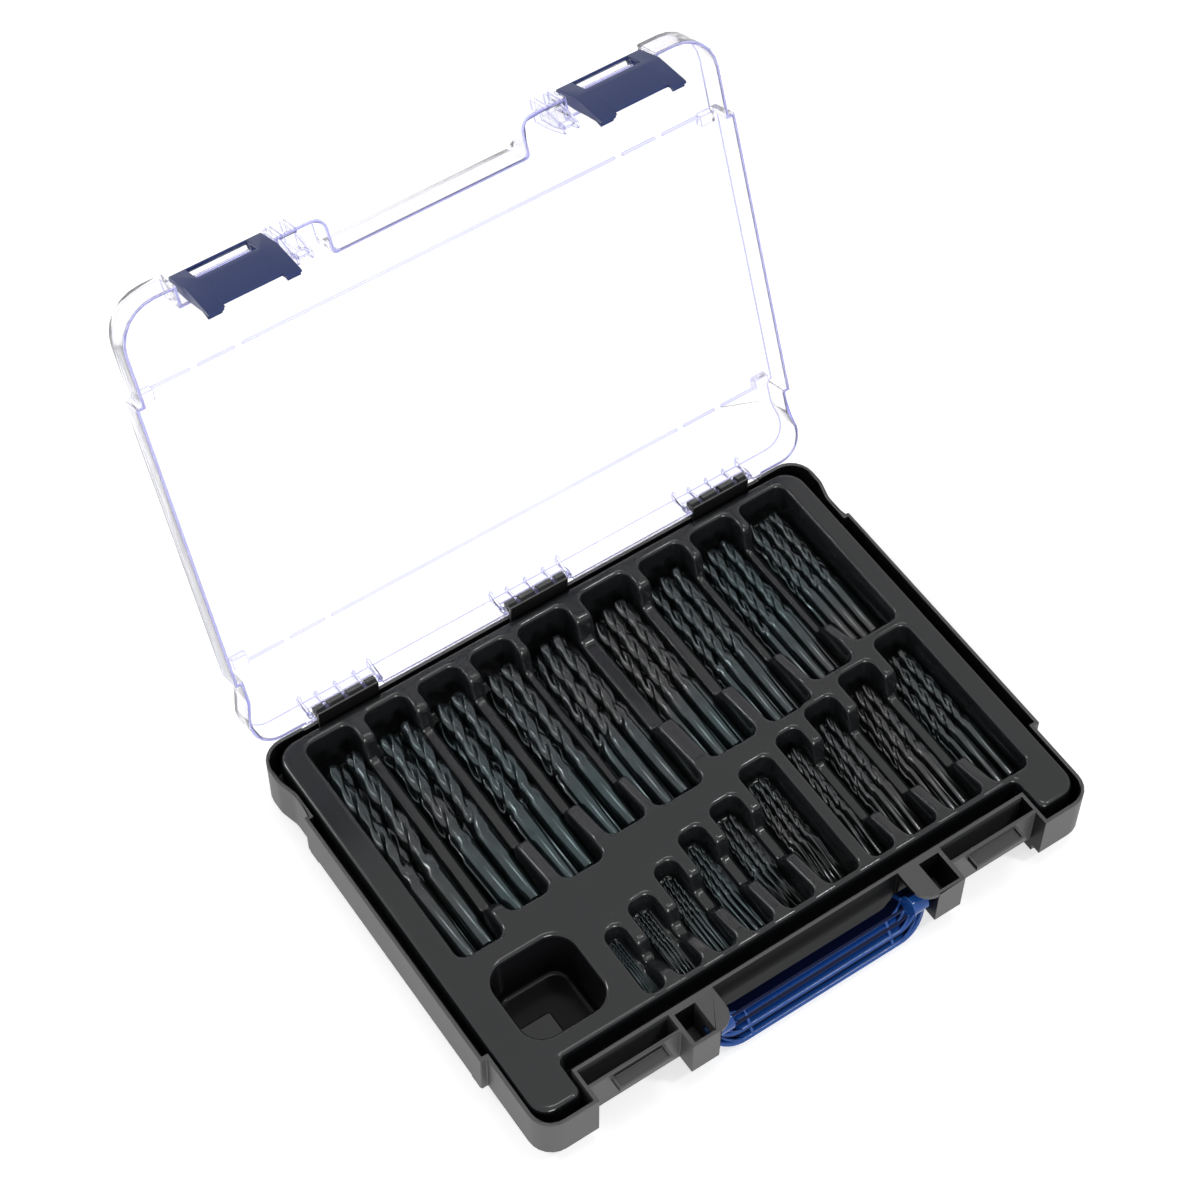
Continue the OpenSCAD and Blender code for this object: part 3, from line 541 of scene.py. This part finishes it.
# %% The block in the accessory pocket
def block_ring(grow):
    """A block in the front left of the pocket, 20 mm across, grown by an amount."""
    x0, x1, y0, y1 = -140.5 - grow, -119.6 + grow, -85 - grow, -63.6 + grow
    r = max(2.6 + grow, 0.3)
    return rounded([[x1, y1, r], [x0, y1, r], [x0, y0, r], [x1, y0, r]], 6)


sides = [(0.8, 8.0), (0.3, 8.3), (0.0, 9.0), (-0.5, 15.6)]
sides += [(-0.5 - 1.4 * (1 - math.cos(t)), 15.6 + 1.4 * math.sin(t))
          for t in np.linspace(0, math.pi / 2, 6)[1:]]
sides += [(-2.2, 17.0)]
around = len(block_ring(0))
add_rows([np.column_stack([block_ring(grow), np.full(around, z)]) for grow, z in sides], (-130, -74.3, 17.0))
print("block sides:", len(sides), "rows")

# %% The rim and the skirt
def tray_ring(inset):
    """The tray's outer outline, moved in by an amount: a rectangle with the front recess left out."""
    half = [[161.8 - inset, 124.2 - inset, 12], [161.8 - inset, -118.5 + inset, 10],
            [137.4 + inset, -118.5 + inset, 4], [137.4 + inset, -97.5 + inset, 4]]
    return rounded(half + [[-x, y, r] for x, y, r in half[::-1]], 8)[::-1]


around = len(tray_ring(0))
edge = [(2.8, 0.0)]
edge += [(2.4 * (1 - math.sin(t)), 2.4 * (1 - math.cos(t))) for t in np.linspace(0, math.pi / 2, 7)]
edge += [(-0.5, 17.0)]
skirt = [np.column_stack([tray_ring(inset), np.full(around, rim - drop)]) for inset, drop in edge]
add_rows(skirt[::-1])
lips.append(skirt[0])
print("skirt:", len(skirt), "rows of", around)


# %% The flat of the sheet
def fill_between(loops):
    """Triangles over the region inside the last loop and outside all the others."""
    flat = np.vstack([loop[:, :2] for loop in loops])
    starts = np.cumsum([0] + [len(loop) for loop in loops])
    edges = [(s + i, s + (i + 1) % len(loop)) for s, loop in zip(starts, loops) for i in range(len(loop))]
    verts, _, tris, *_ = delaunay_2d_cdt([Vector(p) for p in flat], edges, [], 0, 1e-6)
    verts = np.array([tuple(v) for v in verts])
    tris = np.array(tris)
    middle = verts[tris].mean(1)
    keep = inside(middle, loops[-1][:, :2])
    for loop in loops[:-1]:
        keep &= ~inside(middle, loop[:, :2])
    return verts, tris[keep]


def inside(points, loop):
    """Even-odd rule: a point is inside if a ray to the right crosses the loop an odd number of times."""
    a, b = loop, np.roll(loop, -1, 0)
    x, y = points[:, :1], points[:, 1:]
    crosses = (a[:, 1] > y) != (b[:, 1] > y)
    at = a[:, 0] + (y - a[:, 1]) / np.where(b[:, 1] == a[:, 1], 1e-9, b[:, 1] - a[:, 1]) * (b[:, 0] - a[:, 0])
    return ((crosses & (x < at)).sum(1) % 2).astype(bool)


flat, triangles = fill_between(lips)
first = sum(len(p) for p in tray_points)
tray_points.append(np.column_stack([flat, sheet_height(flat)]))
tray_faces.extend((triangles + first).tolist())
tray = make_piece("pressed_tray", np.vstack(tray_points), tray_faces, tray_black)


def weld(piece, distance=0.004):
    """Joins points that lie on each other and turns all faces outwards."""
    bm = bmesh.new()
    bm.from_mesh(piece.data)
    bmesh.ops.remove_doubles(bm, verts=bm.verts, dist=distance * MM)
    bmesh.ops.recalc_face_normals(bm, faces=bm.faces)
    if sum(f.normal.z * f.calc_area() for f in bm.faces) < 0:
        bmesh.ops.reverse_faces(bm, faces=bm.faces)
    bm.to_mesh(piece.data)
    bm.free()
    piece.data.polygons.foreach_set("use_smooth", [True] * len(piece.data.polygons))
    return piece


weld(tray)
# Painted shade: the faces deep in the accessory pocket, all but the block's top, take the darker and less
# glossy second black.
tray.data.materials.append(tray_painted_shade)
middle = np.zeros((len(tray.data.polygons), 3))
tray.data.polygons.foreach_get("center", middle.ravel())
x, y, z = middle.T / MM
hollow = (np.abs(x + 120) < 23) & (np.abs(y + 63) < 23) & (z < 33)
on_block = (np.abs(x + 130.05) < 10.15) & (np.abs(y + 74.3) < 10.4) & (z > 15.7)
tray.data.polygons.foreach_set("material_index", (hollow & ~on_block).astype(int))
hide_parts("insert_tray")
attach(tray, "case")
print("tray faces:", len(tray.data.polygons))

# %% [markdown]
# ## Softening the moulded parts
#
# The base, lid, latches and handle are true solids with knife edges. A moulded part has small radii,
# and they are what catches the light. Each is copied, its loose triangles are welded and merged into
# clean faces, and a Bevel rounds every corner sharper than a set angle. On the lid the rounded strips
# take the third material, the lilac edge.
#
# The lid and the latches stand open, which makes their own directions awkward. Two helpers turn points
# about the hinge, to the shut lid and back, so that sizes can be read off as on the closed case.

# %% Shut and open
HINGE_TURN, HINGE_Y, HINGE_Z = math.radians(111.5), 128.5, 45.0


def turned_about_hinge(at, turn):
    """Points in millimetres, turned about the hinge: y and z mix by the turn's cosine and sine."""
    y, z = at[:, 1] - HINGE_Y, at[:, 2] - HINGE_Z
    return np.column_stack([at[:, 0], HINGE_Y + math.cos(turn) * y - math.sin(turn) * z,
                            HINGE_Z + math.sin(turn) * y + math.cos(turn) * z])


def shut(at):
    """Points of the standing lid where they are when it is shut."""
    return turned_about_hinge(at, HINGE_TURN)


def stood(at):
    """Points of the shut lid where they are when it stands open."""
    return turned_about_hinge(at, -HINGE_TURN)


def cut_away(piece, low, high):
    """Takes a box, given by two corners on the shut lid, out of a piece of the standing lid."""
    x, y, z = np.array([low, high], float).T
    corners = np.array([[i, j, k] for i in x for j in y for k in z])
    sides = [(0, 1, 3, 2), (4, 6, 7, 5), (0, 4, 5, 1), (2, 3, 7, 6), (0, 2, 6, 4), (1, 5, 7, 3)]
    cutter = make_piece("cutter", stood(corners), sides, base_black, smooth=False)
    cut = piece.modifiers.new("cut", "BOOLEAN")
    cut.object, cut.solver, cut.operation = cutter, "EXACT", "DIFFERENCE"
    mesh = bpy.data.meshes.new_from_object(piece.evaluated_get(bpy.context.evaluated_depsgraph_get()))
    piece.modifiers.clear()
    piece.data = mesh
    bpy.data.objects.remove(cutter)


print("the lid's top stands at", np.round(stood(np.array([[0, -128.5, 57.0]]))[0], 1))


# %% Measuring a finished piece
def box_of(piece):
    """Lowest and highest corners of a piece with its modifiers, in millimetres."""
    done = piece.evaluated_get(bpy.context.evaluated_depsgraph_get()).to_mesh()
    at = np.zeros((len(done.vertices), 3))
    done.vertices.foreach_get("co", at.ravel())
    return np.round([at.min(0) / MM, at.max(0) / MM], 2).tolist()


# %% Rounded copies
SMALL_FACE = 120e-6


def softened(node, body, materials, radius, steps=2, second=None, rounding=0, shape=None):
    """A copy of a solid with its flat areas merged and its sharp edges rounded by a Bevel.

    `second` picks the faces of the second material, `rounding` is the material of the rounded strips
    (-1: that of the faces beside them), and `shape` may change the copy before it is rounded.
    """
    mesh = bpy.data.meshes.new(node + "_moulded")
    bm = bmesh.new()
    bm.from_mesh(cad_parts[node].data)
    bmesh.ops.remove_doubles(bm, verts=bm.verts, dist=0.002 * MM)
    bmesh.ops.dissolve_limit(bm, angle_limit=math.radians(1.0), verts=bm.verts, edges=bm.edges)
    wide = [f for f in bm.faces if len(f.verts) > 24]
    bmesh.ops.triangulate(bm, faces=wide, ngon_method="EAR_CLIP")
    bm.to_mesh(mesh)
    bm.free()
    mesh.materials.clear()
    for material in materials:
        mesh.materials.append(material)
    count = len(mesh.polygons)
    centre, normal = np.zeros((count, 3)), np.zeros((count, 3))
    area, corners = np.zeros(count), np.zeros(count, np.int32)
    mesh.polygons.foreach_get("center", centre.ravel())
    mesh.polygons.foreach_get("normal", normal.ravel())
    mesh.polygons.foreach_get("area", area)
    mesh.polygons.foreach_get("loop_total", corners)
    picked = second(centre / MM, normal) if second else np.zeros(count, bool)
    mesh.polygons.foreach_set("material_index", picked.astype(int))
    mesh.polygons.foreach_set("use_smooth", (area < SMALL_FACE) & (corners != 3))
    piece = bpy.data.objects.new(node + "_moulded", mesh)
    bpy.context.scene.collection.objects.link(piece)
    if shape:
        shape(piece)
    bevel = piece.modifiers.new("rounding", "BEVEL")
    bevel.width = radius * MM
    bevel.segments = steps
    bevel.miter_outer = "MITER_ARC"
    bevel.limit_method = "ANGLE"
    bevel.angle_limit = math.radians(38)
    bevel.use_clamp_overlap = False
    bevel.loop_slide = False
    bevel.material = rounding
    flat = piece.modifiers.new("flat_faces", "WEIGHTED_NORMAL")
    flat.weight = 100
    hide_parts(node)
    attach(piece, body)
    print(node, "box in mm:", box_of(piece))


# %% [markdown]
# ## The base
#
# Outside, the base has a grained satin skin. Inside, and on the panel behind the handle, it is
# smoother and painted far darker, as painted shade. A face looks inwards if its normal points
# towards the middle of the case.

# %% Base
def recess_or_inside(at, normal):
    """Faces of the base that take painted shade: the panel behind the handle and everything that faces
    inwards.
    """
    panel = (np.abs(at[:, 0]) < 80) & (at[:, 1] > -116) & (normal[:, 1] < -0.3)
    inward = (at[:, :2] * normal[:, :2]).sum(1) < -20
    return panel | inward


softened("base", "case", [base_black, base_smooth_painted_shade], 0.35, second=recess_or_inside, rounding=-1)

# %% [markdown]
# ## The lid
#
# The lid's rim is the flat end face of its walls. It is wide, and light gathers in it, so it shows as a
# milky lilac band all round. The rounded strips get one step only, because a clear part shows both
# sides of every strip.

# %% Lid
RIM_HEIGHT = 40.6


def rim_faces(at, normal):
    """Faces that look straight down at the height of the rim when the lid is shut."""
    height = shut(at)[:, 2]
    down = shut(at + normal)[:, 2] - height
    return (np.abs(height - RIM_HEIGHT) < 0.4) & (down < -0.9)


softened("lid", "lid", [lid_clear, lid_rim, lid_edge], 0.55,
         steps=1, second=rim_faces, rounding=2)

# %% [markdown]
# ## The latches
#
# Each latch is a bent plate with a window through which the lid's clear bar shows, and two feet that
# stand beyond the panel between them. The solid's window ends at the roll round the bar. Here a box is
# cut right through the roll, and the panel and the feet are drawn apart, the further down the more.

# %% Latches
LATCH_X, PANEL_HALF = 106.2, 16.25
CREASE_Z, PANEL_DROP, FOOT_TIP_Z = 33.4, 21.5, 13.0


def latch_grip(piece):
    """Opens the window behind the lid's bar; shifts y by a share that grows from the crease down."""
    middle = LATCH_X if piece.name.startswith("latch_right") else -LATCH_X
    cut_away(piece, (middle - 16, -124.1, 50.0), (middle + 16, -118, 56))
    at = np.zeros((len(piece.data.vertices), 3))
    piece.data.vertices.foreach_get("co", at.ravel())
    at = shut(at / MM)
    share = np.clip((CREASE_Z - at[:, 2]) / PANEL_DROP, 0, 1)
    panel = (np.abs(at[:, 0] - middle) < PANEL_HALF) & (at[:, 2] > FOOT_TIP_Z)
    at[:, 1] += share * np.where(panel, -1.8, 2.0)
    piece.data.vertices.foreach_set("co", (stood(at) * MM).ravel())
    piece.data.update()


for node in ("latch_left", "latch_right"):
    softened(node, node, [latch_navy], 0.3, shape=latch_grip)


# %% [markdown]
# ## The handle
#
# The grip is a U-shaped band with four ribs that run along it and round its bends. On the real handle
# they are full and round, and the grooves between them are dark. The solid's ribs are thin plates, so
# a wavy sheet lies over them: its height across the band is a wave that is flat on the ribs and steep
# in the grooves, and its rows follow the U. Deep rows take a darker blue, painted shade in the
# grooves, and the inside of the U takes the same painted shade.

# %% Handle
def inner_side(at, normal):
    """Faces of the handle that look back and up, on the inside of its U; they take painted shade."""
    return (normal[:, 1] > 0.3) & (normal[:, 2] > 0.5)


softened("handle", "handle", [handle_blue, handle_shade], 0.5, second=inner_side)

# %% The grip's ribs
GRIP_X, GRIP_W, ARM_W, ARM_UP = 67, 18, 9, 6
GRIP_Y, GRIP_Z, GRIP_TILT = -117, 21, math.radians(32)
RIB, PITCH, GROOVE, PAINTED_SHADE_BELOW = 1.6, 5.467, 4.6, 0.9


def grip_row(share, sink):
    """Points along the U at a share of the way from its outer to its inner edge, sunk by a depth."""
    x, low = GRIP_X - ARM_W * share, -GRIP_W * (1 - share)
    r = min(20 - 11 * share, ARM_UP - 0.1 - low)
    u, v = rounded([[-x, ARM_UP, 0.02], [-x, low, r], [x, low, r], [x, ARM_UP, 0.02]], 12).T
    y = math.cos(GRIP_TILT) * sink + math.sin(GRIP_TILT) * v
    z = -math.sin(GRIP_TILT) * sink + math.cos(GRIP_TILT) * v
    return np.column_stack([u, y + GRIP_Y, z + GRIP_Z])


shares = np.linspace(0, 1, 73)
waves = np.abs(np.cos(math.pi * (GRIP_W * shares - RIB / 2) / PITCH))
sinks = GROOVE * (1 - waves) ** 1.6 - 0.22
profile = [(-0.013, 1.6), (-0.013, 0.4), (-0.008, 0.05), *zip(shares, sinks),
           (1.008, 0.05), (1.013, 0.4), (1.013, 1.6)]
rows = [grip_row(share, sink) for share, sink in profile]
ribs = make_piece("grip_ribs", np.vstack(rows), grid_faces(len(rows), len(rows[0]), False), handle_blue)
weld(ribs)
# Painted shade: the deep rows of the grooves take the darker blue.
ribs.data.materials.append(handle_shade)
depths = np.array([sink for _, sink in profile])
deep = np.repeat(np.maximum(depths[:-1], depths[1:]) > PAINTED_SHADE_BELOW, len(rows[0]) - 1)
ribs.data.polygons.foreach_set("material_index", deep.astype(int))
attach(ribs, "handle")
print("grip rows:", len(rows), "box in mm:", box_of(ribs))

# %% [markdown]
# ## Floor and light
#
# The case stands on a white ground that runs off to nothing. The floor is a plain matt sheet that the
# lamps light to nearly white; where the lens looks at it, some of its own white is added, so that only
# the contact shadows are left. The strongest lamp is a broad one low in front, which lights the walls
# that face the lens. A second stands behind on the left, a weak one above, and a small one on the right
# gives the drills and the tray's rolls their short bright highlights.

# %% Floor
floor_mesh = bpy.data.meshes.new("floor")
floor_mesh.from_pydata([(-6, -6, 0), (6, -6, 0), (6, 6, 0), (-6, 6, 0)], [], [(0, 1, 2, 3)])
floor = bpy.data.objects.new("floor", floor_mesh)
bpy.context.scene.collection.objects.link(floor)
ground = Surface("floor_white", Base_Color=(0.80, 0.80, 0.80, 1), Roughness=0.9, Specular_IOR_Level=0.0)
rays = ground.node("LightPath", out="Is Camera Ray")
seen = (rays + rays.sibling("Is Glossy Ray") + rays.sibling("Is Transmission Ray")).clamp()
glow = ground.node("Emission", {}, {"Color": (1, 1, 1, 1), "Strength": 0.55})
mixed = ground.node("AddShader", {}, {0: Wire(ground, ground.shader.outputs[0]), 1: glow})
shown = ground.node("MixShader", {}, {0: seen, 1: Wire(ground, ground.shader.outputs[0]), 2: mixed})
ground.tree.links.new(shown.socket, ground.output.inputs["Surface"])
floor_mesh.materials.append(ground.material)

# %% World and lamps
world = bpy.data.worlds.new("studio")
bpy.context.scene.world = world
world.use_nodes = True
tree = world.node_tree
dome, sky = tree.nodes["Background"], tree.nodes.new("ShaderNodeBackground")
dome.inputs["Color"].default_value = (1, 1, 1, 1)
dome.inputs["Strength"].default_value = 0.34
sky.inputs["Color"].default_value = (1, 1, 1, 1)
sky.inputs["Strength"].default_value = 1.0
path, pick = tree.nodes.new("ShaderNodeLightPath"), tree.nodes.new("ShaderNodeMixShader")
seen = path.outputs["Is Camera Ray"]
for ray in ("Is Glossy Ray", "Is Transmission Ray"):
    both = tree.nodes.new("ShaderNodeMath")
    both.operation = "MAXIMUM"
    tree.links.new(seen, both.inputs[0])
    tree.links.new(path.outputs[ray], both.inputs[1])
    seen = both.outputs[0]
tree.links.new(seen, pick.inputs[0])
tree.links.new(dome.outputs[0], pick.inputs[1])
tree.links.new(sky.outputs[0], pick.inputs[2])
tree.links.new(pick.outputs[0], tree.nodes["World Output"].inputs["Surface"])


def lamp(name, at, towards, size, power):
    """A square softbox of the given width in metres, aimed at a point."""
    light = bpy.data.lights.new(name, "AREA")
    light.size, light.energy = size, power
    made = bpy.data.objects.new(name, light)
    made.location = at
    made.rotation_euler = (Vector(towards) - Vector(at)).to_track_quat("-Z", "Y").to_euler()
    bpy.context.scene.collection.objects.link(made)
    return made


lamp("front", (-0.5, -2.1, 0.75), (0, 0, 0.03), 0.8, 22)
lamp("behind", (-1.1, 1.3, 1.3), (0, 0, 0.03), 0.5, 11)
lamp("above", (0.2, -0.1, 2.0), (0, 0, 0.03), 0.5, 4)
lamp("spark", (0.73, -0.88, 1.87), (0, 0, 0.03), 0.16, 7)
bpy.context.scene.view_settings.view_transform = "Standard"
print("lit")
